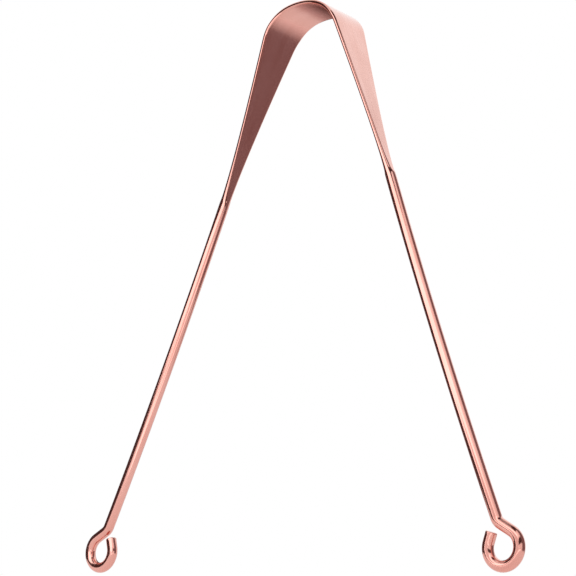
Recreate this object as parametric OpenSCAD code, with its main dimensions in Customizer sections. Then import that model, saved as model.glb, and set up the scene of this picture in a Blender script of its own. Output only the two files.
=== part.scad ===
// Tongue scraper: a springy arched blade between two wire handles, each ending in an eye.
// The tool stands on its two eyes with the arch on top. X runs from handle to handle,
// Y is the width of the blade and Z is up. The origin is midway between the eyes, on the floor.

/* [Blade] */
// Width of the strip across the crown
blade_w = 13.4; // [9:0.1:20]
// Thickness of the strip over the crown
blade_t = 1; // [0.5:0.05:1.5]
// Radius of the crown's flatter top, to the middle of the strip
crown_r = 19.8; // [15:0.1:40]
// Angle from the peak of the arch to the start of the shoulder
crown_turn = 12; // [5:1:25]
// Radius of each shoulder, to the middle of the strip
shoulder_r = 11.4; // [6:0.1:20]
// Angle of each side of the arch from the vertical
side_angle = 20.7; // [10:0.1:30]
// Length at full width, from the peak to where the strip starts to narrow
full_width_l = 12.3; // [5:0.1:15]
// Length of the straight side, from the shoulder to where the flat faces run out
side_l = 45.2; // [20:0.1:60]
// How hollow the taper is: 1 narrows the strip in a straight line
taper_power = 1.3; // [1:0.05:2]
// How late the side thickens towards the wire's diameter: a higher power keeps it thin for longer
thicken_power = 12; // [6:1:16]
// Length of the round stub below the run-out, up to the joint with the handle
stub_l = 2; // [1:0.5:6]

/* [Handles] */
// Diameter of the handle wire
wire_d = 2.8; // [2:0.1:4]
// Length of the handle wire from the joint to the neck of its eye
arm_l = 92.8; // [50:0.1:140]
// Radius of the slight outward bow of each handle
arm_bow_r = 1800; // [800:10:5000]

/* [Eyes] */
// Radius of the outward bend at the neck, to the middle of the wire
neck_r = 2.8; // [2:0.1:5]
// Angle of the outward bend at the neck
neck_turn = 37; // [20:1:50]
// Length of straight wire from the neck to the round of the eye
neck_l = 3.6; // [2:0.1:8]
// Radius of the round of the eye, to the middle of the wire
eye_r = 4.3; // [3.5:0.1:8]
// Angle through which the wire turns round the eye
eye_turn = 257; // [230:1:258]
// Length of straight wire from the round of the eye to the cut end
tail_l = 2.5; // [1:0.1:2.6]
// Bevel round the cut end
end_bevel = 0.25; // [0.1:0.05:0.5]

/* [Hidden] */
// Sides of the round wire, and steps along each of its bends
wire_sides = 48;
bend_steps = 32;
// Steps round each half of the arch and down each of its sides, and points round each edge of the strip
arch_steps = 20;
side_steps = 30;
edge_points = 10;
// The bends are a hair thicker than the straight wire, which laps into them, so that they join as one solid
hair = 0.01;
lap = 0.05;
bend_d = wire_d + hair;

// Each stretch of a centre line is [length, turn]: the angle is positive where it turns in or down
shoulder_turn = 90 - side_angle - crown_turn;
crown_part = [crown_r * crown_turn * PI / 180, crown_turn];
shoulder_part = [shoulder_r * shoulder_turn * PI / 180, shoulder_turn];
blade_half = [crown_part, shoulder_part, [side_l + stub_l, 0]];
arm_turn = -arm_l / arm_bow_r * 180 / PI;
neck_part = [neck_r * neck_turn * PI / 180, -neck_turn];
eye_part = [eye_r * eye_turn * PI / 180, eye_turn];
neck_parts = [[arm_l, arm_turn], neck_part, [neck_l, 0]];

// A place on a centre line is [x, z, heading]: heading 0 points along +X and 90 points down
function step_on(at, length, turn) =
    turn == 0
    ? [at[0] + length * cos(at[2]), at[1] - length * sin(at[2]), at[2]]
    : let (r = length / (turn * PI / 180))
      [at[0] + r * (sin(at[2] + turn) - sin(at[2])),
       at[1] + r * (cos(at[2] + turn) - cos(at[2])),
       at[2] + turn];

// The place that lies a length s along the parts
function walk(parts, s, at, i = 0) =
    i == len(parts) ? at
    : s <= parts[i][0] ? step_on(at, s, parts[i][1] * s / parts[i][0])
    : walk(parts, s - parts[i][0], step_on(at, parts[i][0], parts[i][1]), i + 1);

function total(parts, i = 0) = i == len(parts) ? 0 : parts[i][0] + total(parts, i + 1);

// Height of the peak above the lowest point of the eyes
blade_half_l = total(blade_half);
eye_start = walk(neck_parts, total(neck_parts), walk(blade_half, blade_half_l, [0, 0, 0]));
peak_z = eye_r * cos(eye_start[2]) - eye_start[1] + eye_r + bend_d / 2;
peak = [0, peak_z, 0];
joint = walk(blade_half, blade_half_l, peak);

// The strip narrows and thickens to the wire's diameter at the run-out, so that it is round there
run_out_s = blade_half_l - stub_l;
function strip_w(s) =
    wire_d + (blade_w - wire_d) * pow(min(1, max(0, (run_out_s - s) / (run_out_s - full_width_l))), taper_power);
function strip_t(s) = blade_t + (wire_d - blade_t) * pow(min(1, s / run_out_s), thicken_power);

// Outline of the strip at one place: two flat faces between two half-round edges. The points
// lie half a step in from the flats, so that none coincide where the strip becomes round
function edge_arc(side, w, t) =
    [for (i = [0 : edge_points - 1]) let (a = 180 * (i + 0.5) / edge_points - 90 * side)
        [side * (w - t) / 2 + t / 2 * cos(a), t / 2 * sin(a)]];
function strip_ring(side, s) =
    let (at = walk(blade_half, s, peak), w = strip_w(s), t = strip_t(s))
    [for (p = concat(edge_arc(1, w, t), edge_arc(-1, w, t)))
        [side * (at[0] + p[1] * sin(at[2])), p[0], at[1] + p[1] * cos(at[2])]];

// Lengths from the peak at which the strip's outline is drawn
arch_l = crown_part[0] + shoulder_part[0];
ring_s = concat(
    [for (i = [0 : arch_steps - 1]) arch_l * i / arch_steps],
    [for (i = [0 : side_steps]) arch_l + side_l * i / side_steps],
    [blade_half_l]);

module scraper_blade() {
    ring_n = 2 * edge_points;
    half = len(ring_s) - 1;
    last = 2 * half;
    rings = [for (i = [-half : half]) strip_ring(i < 0 ? -1 : 1, ring_s[abs(i)])];
    walls = [for (i = [0 : last - 1]) for (j = [0 : ring_n - 1])
        let (k = (j + 1) % ring_n, low = i * ring_n, high = low + ring_n)
        each [[low + j, low + k, high + k], [low + j, high + k, high + j]]];
    ends = [[for (j = [ring_n - 1 : -1 : 0]) j], [for (j = [0 : ring_n - 1]) last * ring_n + j]];
    color("#c98478")
    polyhedron([for (ring = rings) each ring], concat(walls, ends));
}

// A bend of round wire from the origin and +X, which turns down, or up where the angle is negative
module bend(length, turn, d) {
    r = abs(length / (turn * PI / 180));
    mirror([0, 0, turn < 0 ? 1 : 0])
    rotate([-90, 0, 0])
    rotate([0, 0, -90])
    translate([-r, 0, 0])
    rotate_extrude(angle = abs(turn), $fn = bend_steps * 360 / abs(turn))
    translate([r, 0])
    circle(d = d, $fn = wire_sides);
}

// A straight length of wire from the origin along +X, with a bevel at its far end and a lap before its start
module straight(length, bevel) {
    rotate([0, 90, 0])
    rotate_extrude($fn = wire_sides)
    polygon([[0, -lap], [wire_d / 2, -lap], [wire_d / 2, length - bevel], [wire_d / 2 - bevel, length], [0, length]]);
}

// Moves what follows to the end of a stretch of the wire
module after(length, turn) {
    end = step_on([0, 0, 0], length, turn);
    translate([end[0], 0, end[1]])
    rotate([0, end[2], 0])
    children();
}

module handle() {
    translate([joint[0], 0, joint[1]])
    rotate([0, joint[2], 0]) {
        bend(arm_l + lap, arm_turn * (arm_l + lap) / arm_l, wire_d);
        after(arm_l, arm_turn) {
            bend(neck_part[0], neck_part[1], bend_d);
            after(neck_part[0], neck_part[1]) {
                straight(neck_l + lap, 0);
                after(neck_l, 0) {
                    bend(eye_part[0], eye_part[1], bend_d);
                    after(eye_part[0], eye_part[1]) straight(tail_l, end_bevel);
                }
            }
        }
    }
}

module right_handle() color("#d99a8c") handle();
module left_handle() color("#d99a8c") mirror([1, 0, 0]) handle();

scraper_blade();
left_handle();
right_handle();
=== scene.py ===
import bpy
import math
from collections import namedtuple
from mathutils import Matrix, Vector


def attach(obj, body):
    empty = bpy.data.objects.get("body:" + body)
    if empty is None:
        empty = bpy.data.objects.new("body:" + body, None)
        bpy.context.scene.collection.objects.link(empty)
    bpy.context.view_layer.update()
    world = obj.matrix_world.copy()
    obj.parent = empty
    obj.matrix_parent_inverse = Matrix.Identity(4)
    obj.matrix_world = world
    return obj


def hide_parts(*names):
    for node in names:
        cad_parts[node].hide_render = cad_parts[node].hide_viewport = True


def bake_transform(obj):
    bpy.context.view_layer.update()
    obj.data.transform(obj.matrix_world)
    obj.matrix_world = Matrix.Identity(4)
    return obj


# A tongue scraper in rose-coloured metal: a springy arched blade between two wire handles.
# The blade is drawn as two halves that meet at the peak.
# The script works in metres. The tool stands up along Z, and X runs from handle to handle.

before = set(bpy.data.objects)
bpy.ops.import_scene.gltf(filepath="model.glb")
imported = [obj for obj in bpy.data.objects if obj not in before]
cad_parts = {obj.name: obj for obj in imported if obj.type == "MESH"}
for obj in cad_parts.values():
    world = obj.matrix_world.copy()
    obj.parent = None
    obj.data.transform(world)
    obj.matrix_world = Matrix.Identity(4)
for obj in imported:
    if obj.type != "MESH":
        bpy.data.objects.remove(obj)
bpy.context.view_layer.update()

MM = 0.001

# The strip of the blade, as in the part's source
BLADE_W = 13.4 * MM
BLADE_T = 1 * MM
CROWN_R = 19.8 * MM
CROWN_TURN = math.radians(12)
SHOULDER_R = 11.4 * MM
SIDE_ANGLE = math.radians(20.7)
FULL_WIDTH_L = 12.3 * MM
SIDE_L = 45.2 * MM
TAPER_POWER = 1.3
THICKEN_POWER = 12
STUB_L = 2 * MM
# How softly the strip starts to narrow, and how softly it stops growing thicker
TAPER_EASE = 1.2 * MM
THICKEN_EASE = 0.3 * MM
# The flats end in a small step, as pressed ones do: its share of the growth, and how abrupt it is
STEP_SHARE = 0.3
STEP_POWER = 110

# The wire of the handles and their eyes, as in the part's source
WIRE_D = 2.8 * MM
ARM_L = 92.8 * MM
ARM_BOW_R = 1800 * MM
NECK_R = 2.8 * MM
NECK_TURN = math.radians(37)
NECK_L = 3.6 * MM
EYE_R = 4.3 * MM
EYE_TURN = math.radians(257)
TAIL_L = 2.5 * MM
# Radius of the round edge of the cut end
END_ROUND = 0.25 * MM

# Lengths from the peak meant to bound the blade's bend with a handle; the loop below only looks up
# centre-line points there and does not use them
BEND_START_L = 2 * MM
BEND_END_L = 59 * MM

# Each stretch of a centre line is (length, turn), and a positive turn goes in or down
SHOULDER_TURN = math.pi / 2 - SIDE_ANGLE - CROWN_TURN
CROWN_PART = (CROWN_R * CROWN_TURN, CROWN_TURN)
SHOULDER_PART = (SHOULDER_R * SHOULDER_TURN, SHOULDER_TURN)
BLADE_PARTS = [CROWN_PART, SHOULDER_PART, (SIDE_L + STUB_L, 0)]
NECK_PARTS = [(ARM_L, -ARM_L / ARM_BOW_R), (NECK_R * NECK_TURN, -NECK_TURN), (NECK_L, 0)]
ARM_PARTS = [*NECK_PARTS, (EYE_R * EYE_TURN, EYE_TURN), (TAIL_L, 0)]


def step_on(at, length, turn):
    """The place a length further on. A place is (x, z, heading), and heading 0 points along +X."""
    x, z, heading = at
    if turn == 0:
        return (x + length * math.cos(heading), z - length * math.sin(heading), heading)
    radius = length / turn
    return (
        x + radius * (math.sin(heading + turn) - math.sin(heading)),
        z + radius * (math.cos(heading + turn) - math.cos(heading)),
        heading + turn,
    )


def walk(parts, s, at):
    """The place that lies a length s along the parts."""
    for length, turn in parts:
        if s <= length:
            return step_on(at, s, turn * s / length)
        at = step_on(at, length, turn)
        s -= length
    return at


def total(parts):
    return sum(length for length, turn in parts)


BLADE_HALF_L = total(BLADE_PARTS)
RUN_OUT_S = BLADE_HALF_L - STUB_L
eye_start = walk(NECK_PARTS, total(NECK_PARTS), walk(BLADE_PARTS, BLADE_HALF_L, (0, 0, 0)))
PEAK = (0, EYE_R * math.cos(eye_start[2]) - eye_start[1] + EYE_R + WIRE_D / 2, 0)
JOINT = walk(BLADE_PARTS, BLADE_HALF_L, PEAK)


def strip_size(s):
    """Width and thickness of the strip at a length s from the peak."""
    past = s - FULL_WIDTH_L
    eased = (past + math.sqrt(past * past + TAPER_EASE * TAPER_EASE)) / 2
    left_share = min(1, max(0, 1 - eased / (RUN_OUT_S - FULL_WIDTH_L)))
    width = WIRE_D + (BLADE_W - WIRE_D) * left_share**TAPER_POWER
    left = RUN_OUT_S - s
    eased_left = (left + math.sqrt(left * left + THICKEN_EASE * THICKEN_EASE)) / 2
    grown = 1 - eased_left / RUN_OUT_S
    grown_share = (1 - STEP_SHARE) * grown**THICKEN_POWER + STEP_SHARE * grown**STEP_POWER
    return width, BLADE_T + (WIRE_D - BLADE_T) * grown_share


# Points round the strip's outline: each round edge fills all but a small spread of its half circle,
# and each flat has points at shares of its half width, where 1 is one round edge and -1 the other
EDGE_POINTS = 18
FLAT_SPREAD = math.radians(6)
FLAT_SHARES = [0.97, 0.6, 0.2, -0.2, -0.6, -0.97]


def outline_points():
    """Points round the strip, each an angle and on which side of the flat it lies, from 1 to -1."""
    points = []
    for side in (1, -1):
        turn = 0 if side == 1 else math.pi
        reach = math.pi / 2 - FLAT_SPREAD
        for i in range(EDGE_POINTS):
            points.append((turn - reach + 2 * reach * i / (EDGE_POINTS - 1), side))
        for i, share in enumerate(FLAT_SHARES):
            across = (i + 1) / (len(FLAT_SHARES) + 1)
            points.append((turn + reach + 2 * FLAT_SPREAD * across, side * share))
    return points


OUTLINE = outline_points()

# A point of a ring: the place on the centre line, how far it lies across the strip and out from
# its middle, the length from the peak, and 1 on the strip's round edges or else 0
RingPoint = namedtuple("RingPoint", "at across out s rim")

# Rings from the peak to the end of the shoulder, with a few more next to the peak
ARCH_STEPS = 44
NEAR_PEAK_SHARES = [0, 0.05, 0.2, 0.5]
# Rings down the side, which crowd towards the run-out, and rings of the stub
SIDE_STEPS = 70
SIDE_CROWDING = 1.6
STUB_STEPS = 5
# How near a flat end its last ring but one lies, so that the round side shades smoothly up to the end
END_RING_L = 0.02 * MM


def blade_lengths():
    """Lengths from the peak at which the blade has a ring."""
    arch_l = CROWN_PART[0] + SHOULDER_PART[0]
    lengths = [arch_l / ARCH_STEPS * share for share in NEAR_PEAK_SHARES]
    lengths += [arch_l * i / ARCH_STEPS for i in range(1, ARCH_STEPS)]
    lengths += [RUN_OUT_S - SIDE_L * (1 - i / SIDE_STEPS) ** SIDE_CROWDING for i in range(SIDE_STEPS + 1)]
    lengths += [RUN_OUT_S + STUB_L * i / STUB_STEPS for i in range(1, STUB_STEPS)]
    return lengths + [BLADE_HALF_L - END_RING_L, BLADE_HALF_L]


def strip_ring(s):
    width, thickness = strip_size(s)
    at = walk(BLADE_PARTS, s, PEAK)
    ring = []
    for angle, side in OUTLINE:
        across = side * (width - thickness) / 2 + thickness / 2 * math.cos(angle)
        rim = 1 if abs(side) == 1 else 0
        ring.append(RingPoint(at, across, thickness / 2 * math.sin(angle), s, rim))
    return ring


def blade_rings():
    """Rings of half the blade, from the peak to the joint."""
    return [strip_ring(s) for s in blade_lengths()]


WIRE_SIDES = 64
# Rings along each stretch of the handle's wire, round its cut end and across the flat of that end
ARM_STEPS = [60, 14, 4, 110, 4]
END_STEPS = 6
CAP_SHARES = [0.95, 0.5]


def wire_ring(s, radius):
    at = walk(ARM_PARTS, s, JOINT)
    ring = []
    for i in range(WIRE_SIDES):
        angle = 2 * math.pi * i / WIRE_SIDES
        ring.append(RingPoint(at, radius * math.cos(angle), radius * math.sin(angle), BLADE_HALF_L + s, 0))
    return ring


def handle_rings():
    """Rings of the handle's wire, from the joint to the rounded cut end."""
    rings = [wire_ring(0, WIRE_D / 2), wire_ring(END_RING_L, WIRE_D / 2)]
    start = 0
    lengths = [length for length, turn in ARM_PARTS[:-1]] + [TAIL_L - END_ROUND]
    for length, count in zip(lengths, ARM_STEPS):
        rings += [wire_ring(start + length * (i + 1) / count, WIRE_D / 2) for i in range(count)]
        start += length
    flat_r = WIRE_D / 2 - END_ROUND
    for i in range(1, END_STEPS + 1):
        angle = math.pi / 2 * i / END_STEPS
        rings.append(wire_ring(start + END_ROUND * math.sin(angle), flat_r + END_ROUND * math.cos(angle)))
    rings += [wire_ring(start + END_ROUND, flat_r * share) for share in CAP_SHARES]
    return rings


def place(side, at, across, out):
    """A point across the strip and out from its middle, at a place on the centre line."""
    x, z, heading = at
    return (side * (x + out * math.sin(heading)), across, z + out * math.cos(heading))


def add_object(name, data):
    made = bpy.data.objects.new(name, data)
    bpy.context.scene.collection.objects.link(made)
    return made


def tube_faces(ring_count, ring_n):
    """Four-sided faces between the rings, and one flat face across each end."""
    faces = []
    for i in range(ring_count - 1):
        for j in range(ring_n):
            low, high = i * ring_n, (i + 1) * ring_n
            k = (j + 1) % ring_n
            faces.append((low + j, low + k, high + k, high + j))
    faces.append(tuple(reversed(range(ring_n))))
    faces.append(tuple(range((ring_count - 1) * ring_n, ring_count * ring_n)))
    return faces


def swept_mesh(name, side, rings):
    """A closed smooth mesh from rings. It keeps the points' places on the unbent wire as "straight"."""
    points = [point for ring in rings for point in ring]
    faces = tube_faces(len(rings), len(rings[0]))
    if side < 0:
        faces = [tuple(reversed(face)) for face in faces]
    mesh = bpy.data.meshes.new(name)
    mesh.from_pydata([place(side, point.at, point.across, point.out) for point in points], [], faces)
    mesh.validate()
    mesh.polygons.foreach_set("use_smooth", [len(face.vertices) == 4 for face in mesh.polygons])
    straight = mesh.attributes.new("straight", "FLOAT_VECTOR", "POINT")
    for value, point in zip(straight.data, points):
        value.vector = (point.across, point.out, side * point.s)
    rim = mesh.attributes.new("rim", "FLOAT", "POINT")
    rim.data.foreach_set("value", [point.rim for point in points])
    return add_object(name, mesh)


def add_node(tree, kind, **values):
    """A shader node, with the values of its inputs and settings. A name with input_ first is an input's."""
    made = tree.nodes.new(kind)
    for name, value in values.items():
        if name.startswith("input_"):
            made.inputs[name.removeprefix("input_").replace("_", " ").title()].default_value = value
        else:
            setattr(made, name, value)
    return made


def maths(tree, operation, *values):
    """The result of a sum. Each value is a number or another node's output."""
    made = add_node(tree, "ShaderNodeMath", operation=operation)
    for socket, value in zip(made.inputs, values):
        if isinstance(value, bpy.types.NodeSocket):
            tree.links.new(value, socket)
        else:
            socket.default_value = value
    return made.outputs[0]


def new_material(name):
    material = bpy.data.materials.new(name)
    material.use_nodes = True
    return material, material.node_tree, material.node_tree.nodes["Principled BSDF"]


def noise(tree, across, along, detail):
    """A noise over the unbent wire, which changes so many times in a metre across it and along it."""
    places = add_node(tree, "ShaderNodeAttribute", attribute_name="straight")
    mapping = add_node(tree, "ShaderNodeMapping", input_scale=(across, across, along))
    made = add_node(tree, "ShaderNodeTexNoise", input_scale=1, input_detail=detail)
    tree.links.new(places.outputs["Vector"], mapping.inputs["Vector"])
    tree.links.new(mapping.outputs["Vector"], made.inputs["Vector"])
    return made.outputs["Fac"]


# Nearly all of a noise lies between these values
NOISE_LOW = 0.3
NOISE_HIGH = 0.7


def in_range(tree, value, low, high):
    """A noise, stretched to lie between a low and a high value."""
    made = add_node(tree, "ShaderNodeMapRange", input_from_min=NOISE_LOW, input_from_max=NOISE_HIGH)
    made.inputs["To Min"].default_value = low
    made.inputs["To Max"].default_value = high
    tree.links.new(value, made.inputs["Value"])
    return made.outputs["Result"]


def added_bump(tree, height, strength, depth, normal=None):
    """A bump of that depth, on top of the one that made the normal if there is one."""
    made = add_node(tree, "ShaderNodeBump", input_strength=strength, input_distance=depth)
    tree.links.new(height, made.inputs["Height"])
    if normal:
        tree.links.new(normal, made.inputs["Normal"])
    return made.outputs["Normal"]


RIM_POLISH_SHARE = 0.55


def polished_rim(tree, roughness):
    """The same roughness, lowered where the rim is rubbed bright."""
    rim = add_node(tree, "ShaderNodeAttribute", attribute_name="rim")
    left_share = maths(tree, "MULTIPLY_ADD", rim.outputs["Fac"], -RIM_POLISH_SHARE, 1)
    return maths(tree, "MULTIPLY", left_share, roughness)


LINE_STRENGTH = 0.5
PIT_STRENGTH = 0.25
# How deep the tiny pits are, as a share of the drawing lines' depth
PIT_DEPTH_SHARE = 0.5


def metal(name, pale, deep, roughness, line_depth):
    """Rose-coloured metal with faint drawing lines along it, soft patches of tone and tiny pits."""
    material, tree, shader = new_material(name)
    shader.inputs["Metallic"].default_value = 1
    patches = noise(tree, across=260, along=60, detail=3)
    lines = noise(tree, across=9000, along=130, detail=4)
    pits = noise(tree, across=5000, along=5000, detail=2)
    tone = add_node(tree, "ShaderNodeMix", data_type="RGBA")
    tone.inputs["A"].default_value = (*deep, 1)
    tone.inputs["B"].default_value = (*pale, 1)
    tree.links.new(in_range(tree, patches, 0, 1), tone.inputs["Factor"])
    tree.links.new(tone.outputs["Result"], shader.inputs["Base Color"])
    tree.links.new(polished_rim(tree, in_range(tree, lines, *roughness)), shader.inputs["Roughness"])
    pitted = added_bump(tree, pits, PIT_STRENGTH, PIT_DEPTH_SHARE * line_depth)
    tree.links.new(added_bump(tree, lines, LINE_STRENGTH, line_depth, pitted), shader.inputs["Normal"])
    return material


BLADE_METAL = metal(
    "blade_metal",
    pale=(0.83, 0.44, 0.38),
    deep=(0.76, 0.37, 0.31),
    roughness=(0.17, 0.26),
    line_depth=0.002 * MM,
)
HANDLE_METAL = metal(
    "handle_metal",
    pale=(0.83, 0.43, 0.37),
    deep=(0.77, 0.36, 0.30),
    roughness=(0.10, 0.17),
    line_depth=0.0015 * MM,
)


def add_piece(name, side, rings, material, node):
    piece = swept_mesh(name, side, rings)
    piece.data.materials.append(material)
    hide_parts(node)
    return piece


def on_centre(side, s):
    """The point of the blade's centre line that lies a length s from the peak."""
    return place(side, walk(BLADE_PARTS, s, PEAK), 0, 0)


for side, word in ((-1, "left"), (1, "right")):
    arm = word + "_arm"
    half = add_piece("blade_" + word, side, blade_rings(), BLADE_METAL, "scraper_blade")
    on_centre(side, BEND_START_L)
    on_centre(side, BEND_END_L)
    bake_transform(half)
    node = word + "_handle"
    handle = add_piece("handle_" + word, side, handle_rings(), HANDLE_METAL, node)
    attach(handle, arm)

# The camera looks up a little from just below the level of the eyes
CAMERA_AT = Vector((302.449, -347.65, -30.972)) * MM
CAMERA_YAW = math.radians(41.371)
CAMERA_PITCH = math.radians(12.745)
CAMERA_ROLL = math.radians(3.379)
# The lens and the sensor are in millimetres, as the camera keeps them
CAMERA_LENS = 113.607
CAMERA_SENSOR_W = 36
CAMERA_CLIP_L = 10 * MM


def add_camera():
    data = bpy.data.cameras.new("camera")
    data.sensor_width = CAMERA_SENSOR_W
    data.lens = CAMERA_LENS
    data.clip_start = CAMERA_CLIP_L
    camera = add_object("camera", data)
    camera.matrix_world = (
        Matrix.Translation(CAMERA_AT)
        @ Matrix.Rotation(CAMERA_YAW, 4, "Z")
        @ Matrix.Rotation(math.pi / 2 + CAMERA_PITCH, 4, "X")
        @ Matrix.Rotation(CAMERA_ROLL, 4, "Z")
    )
    bpy.context.scene.camera = camera


add_camera()

WHITE = (1, 1, 1)
# How strongly the world lights what isn't seen or mirrored
WORLD_FILL = 0.55


def seen_or_mirrored(tree):
    """1 for the rays of the camera, of gloss and of glass, and 0 for the rest."""
    path = add_node(tree, "ShaderNodeLightPath")
    mirrored = maths(tree, "MAXIMUM", path.outputs["Is Glossy Ray"], path.outputs["Is Transmission Ray"])
    return maths(tree, "MAXIMUM", path.outputs["Is Camera Ray"], mirrored)


def add_world():
    """White behind the object and in its reflections, and a plain grey fill for everything else."""
    world = bpy.data.worlds.new("world")
    bpy.context.scene.world = world
    world.use_nodes = True
    tree = world.node_tree
    background = tree.nodes["Background"]
    background.inputs["Color"].default_value = (*WHITE, 1)
    strength = add_node(tree, "ShaderNodeMapRange", input_to_min=WORLD_FILL, input_to_max=1)
    tree.links.new(seen_or_mirrored(tree), strength.inputs["Value"])
    tree.links.new(strength.outputs["Result"], background.inputs["Strength"])


add_world()

STAGE_CENTRE = Vector((0, 0, 75)) * MM
FRONT_LAMP_AT = (0, -0.25, 0.15)
OVER_LAMP_AT = (0.325, -0.325, 0.46)
BACK_LAMP_AT = (-0.04, 0.47, 0.45)
FRONT_LAMP_FACING = (0, 1, 0)
COOL = (0.4, 0.9, 1)


def towards_centre(at):
    return STAGE_CENTRE - Vector(at)


def add_lamp(name, at, facing, width, height, brightness, tint=WHITE):
    """A soft square lamp. Its brightness is what a mirror would show of it, where 1 is white."""
    data = bpy.data.lights.new(name, "AREA")
    data.shape = "RECTANGLE"
    data.size = width
    data.size_y = height
    data.energy = brightness * math.pi * width * height
    data.color = tint
    lamp = add_object(name, data)
    lamp.location = at
    lamp.rotation_euler = Vector(facing).to_track_quat("-Z", "Y").to_euler()
    lamp.visible_camera = False


add_lamp("lamp_front", FRONT_LAMP_AT, FRONT_LAMP_FACING, width=0.4, height=0.26, brightness=1)
add_lamp("lamp_over", OVER_LAMP_AT, towards_centre(OVER_LAMP_AT), width=0.3, height=0.25, brightness=0.25)
add_lamp("lamp_back", BACK_LAMP_AT, towards_centre(BACK_LAMP_AT), 0.7, 0.3, brightness=0.4, tint=COOL)

# The floor lies low enough for the eyes to swing down to it as the handles are squeezed together
FLOOR_Z = -6.5 * MM
FLOOR_SPAN = 2.4
FLOOR_COLOUR = (0.86, 0.81, 0.8)
FLOOR_ROUGHNESS = 0.9
FLOOR_GLOW = 0.35
# The front lamp's light stops at a line on the floor, where a painted glow that only the camera sees takes
# over from it.
# The glow starts a little before the line, and fades out past it and past its ends
LINE_Y = FRONT_LAMP_AT[1]
LINE_HALF_L = 0.16
LINE_GLOW = 0.25
GLOW_START_L = 0.03
GLOW_FADE_L = 0.7
GLOW_SIDE_FADE_L = 0.3


def floor_mesh():
    """A level sheet, with the share of the line's glow at each of its corners as "line_glow"."""
    half = FLOOR_SPAN / 2
    end = LINE_HALF_L + GLOW_SIDE_FADE_L
    rows = [(-half, 0), (LINE_Y - GLOW_FADE_L, 0), (LINE_Y, 1), (LINE_Y + GLOW_START_L, 0), (half, 0)]
    columns = [(-half, 0), (-end, 0), (-LINE_HALF_L, 1), (LINE_HALF_L, 1), (end, 0), (half, 0)]
    corners = [(x, y, FLOOR_Z) for y, row_share in rows for x, column_share in columns]
    shares = [row_share * column_share for y, row_share in rows for x, column_share in columns]
    faces = []
    for i in range(len(rows) - 1):
        for j in range(len(columns) - 1):
            near, far = i * len(columns) + j, (i + 1) * len(columns) + j
            faces.append((near, near + 1, far + 1, far))
    mesh = bpy.data.meshes.new("floor")
    mesh.from_pydata(corners, [], faces)
    layer = mesh.attributes.new("line_glow", "FLOAT", "POINT")
    layer.data.foreach_set("value", shares)
    return mesh


def floor_glow(tree):
    """How strongly the floor glows by itself: everywhere a little, and more along the line."""
    glow = maths(tree, "MULTIPLY", seen_or_mirrored(tree), FLOOR_GLOW)
    share = add_node(tree, "ShaderNodeAttribute", attribute_name="line_glow")
    path = add_node(tree, "ShaderNodeLightPath")
    seen_share = maths(tree, "MULTIPLY", share.outputs["Fac"], path.outputs["Is Camera Ray"])
    return maths(tree, "MULTIPLY_ADD", seen_share, LINE_GLOW, glow)


def floor_white():
    """Plain white, which can be looked through from below."""
    material, tree, shader = new_material("floor_white")
    shader.inputs["Base Color"].default_value = (*FLOOR_COLOUR, 1)
    shader.inputs["Roughness"].default_value = FLOOR_ROUGHNESS
    shader.inputs["Specular IOR Level"].default_value = 0
    shader.inputs["Emission Color"].default_value = (*WHITE, 1)
    tree.links.new(floor_glow(tree), shader.inputs["Emission Strength"])
    clear = add_node(tree, "ShaderNodeBsdfTransparent")
    geometry = add_node(tree, "ShaderNodeNewGeometry")
    mix = add_node(tree, "ShaderNodeMixShader")
    tree.links.new(geometry.outputs["Backfacing"], mix.inputs[0])
    tree.links.new(shader.outputs[0], mix.inputs[1])
    tree.links.new(clear.outputs[0], mix.inputs[2])
    tree.links.new(mix.outputs[0], tree.nodes["Material Output"].inputs["Surface"])
    return material


def add_floor():
    floor = add_object("floor", floor_mesh())
    floor.data.materials.append(floor_white())


add_floor()

# Shades of the cards: glowing boards that are seen only in the metal's reflections, as painted reflections
# of dark and pale surroundings
DARK = (0.07, 0.04, 0.04)
DARK_RIGHT = (0.235, 0.17, 0.18)
DARK_BEHIND = (0.12, 0.06, 0.055)
FOOT_BEHIND = (0.64, 0.5, 0.5)
PALE = (0.92, 0.88, 0.88)
PALEST = (0.98, 0.93, 0.93)
# The brightest card glows at nearly twice white: a painted glare, which the metal mirrors as brightly lit
# floor
PAINTED_GLARE = (1.9, 1.9, 1.9)


def card_material():
    """It glows with the shade that is kept at the card's corners, whatever the light: a painted reflection
    colour.
    """
    material = bpy.data.materials.new("card")
    material.use_nodes = True
    tree = material.node_tree
    shade = add_node(tree, "ShaderNodeAttribute", attribute_name="shade")
    glow = add_node(tree, "ShaderNodeEmission")
    tree.links.new(shade.outputs["Vector"], glow.inputs["Color"])
    tree.links.new(glow.outputs[0], tree.nodes["Material Output"].inputs["Surface"])
    return material


CARD_MATERIAL = card_material()


def add_card(name, first_edge, last_edge, first_shade, last_shade):
    """A glowing board to be mirrored in the metal, a painted reflection, which throws no shadow. Its shade
    changes from edge to edge.
    """
    mesh = bpy.data.meshes.new(name)
    mesh.from_pydata([*first_edge, *reversed(last_edge)], [], [(0, 1, 2, 3)])
    layer = mesh.attributes.new("shade", "FLOAT_VECTOR", "POINT")
    layer.data.foreach_set("vector", [*first_shade, *first_shade, *last_shade, *last_shade])
    mesh.materials.append(CARD_MATERIAL)
    card = add_object(name, mesh)
    card.visible_camera = False
    card.visible_diffuse = False
    card.visible_shadow = False


def stand_card(name, start, end, low, high, shade, high_shade=None):
    """A card that stands upright between two places of the floor, from a low to a high edge."""
    low_edge = [(*start, low), (*end, low)]
    high_edge = [(*start, high), (*end, high)]
    add_card(name, low_edge, high_edge, shade, high_shade or shade)


def lay_card(name, low, high, z, shade, end_shade=None):
    """A level card between two corners, given as (x, y). Its shade changes along X."""
    (x, y), (u, v) = low, high
    add_card(name, [(x, y, z), (x, v, z)], [(u, y, z), (u, v, z)], shade, end_shade or shade)


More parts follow.
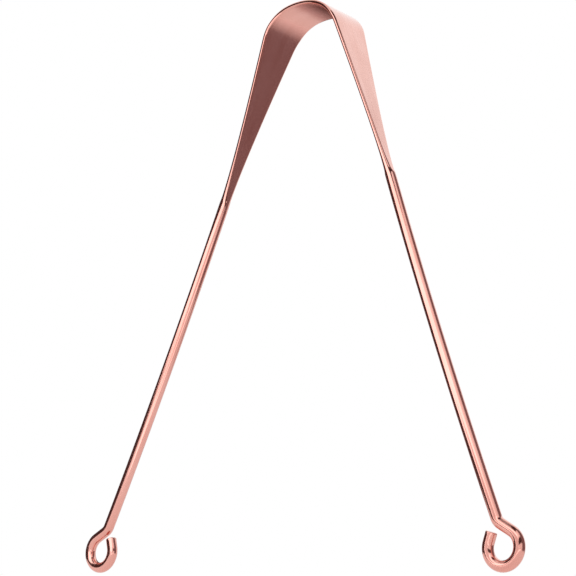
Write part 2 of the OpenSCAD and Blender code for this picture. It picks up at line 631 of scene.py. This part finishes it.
# Where the cards stand. A card that meets another shares its corner or its line
RIGHT_X = 0.14
NEAR_RIGHT_X = 0.15
LEFT_X = -0.25
FRONT_Y = -0.06
OUTER_FRONT_Y = -0.29
BACK_Y = 0.3
LOW_Y = -0.24
PALE_Y = -0.1
LEFT_CORNER = (LEFT_X, 0.12)
BEHIND_CORNER = (-0.15, 0.24)
# Tops of the low cards and of the foot behind, and the level of the cards that lie on the floor
LOW_TOP = 0.07
FOOT_TOP = 0.11
ON_FLOOR_Z = FLOOR_Z + 1 * MM
OVER_Z = 0.3

# As painted reflections they make the dark and the pale bands of the wires, the dark inside of the left
# side and its fade
stand_card("card_right", (RIGHT_X, 0), (RIGHT_X, BACK_Y), low=FLOOR_Z, high=0.34, shade=DARK_RIGHT)
stand_card("card_near", (NEAR_RIGHT_X, -0.2), (NEAR_RIGHT_X, 0), low=0.035, high=0.085, shade=DARK)
stand_card("card_left", (LEFT_X, OUTER_FRONT_Y), LEFT_CORNER, low=FLOOR_Z, high=0.25, shade=DARK)
stand_card("card_front", (-0.13, FRONT_Y), (-0.018, FRONT_Y), low=0.103, high=0.22, shade=DARK)
stand_card("card_high", (0.03, FRONT_Y), (0.085, FRONT_Y), low=0.15, high=0.26, shade=DARK)
stand_card("card_low", (LEFT_X, LOW_Y), (-0.1, LOW_Y), low=FLOOR_Z, high=LOW_TOP, shade=DARK)
stand_card("card_pale", (0.015, PALE_Y), (0.11, PALE_Y), low=FLOOR_Z, high=LOW_TOP, shade=PALE)
stand_card("card_behind", LEFT_CORNER, BEHIND_CORNER, low=FOOT_TOP, high=0.24, shade=DARK_BEHIND)
stand_card("card_behind_foot", LEFT_CORNER, BEHIND_CORNER, FLOOR_Z, FOOT_TOP, FOOT_BEHIND, DARK_BEHIND)
lay_card("floor_fade", (-0.01, 0.12), (RIGHT_X, BACK_Y), ON_FLOOR_Z, PALEST, DARK_RIGHT)
# A glowing card on the floor, brighter than white: a painted glare of lit floor in the metal's reflections
lay_card("floor_painted_glare", (-0.02, OUTER_FRONT_Y), (0.2, FRONT_Y), ON_FLOOR_Z, PAINTED_GLARE)
lay_card("card_over", (0.05, -0.2), (0.17, 0.1), OVER_Z, DARK)

bpy.context.scene.view_settings.view_transform = "Standard"
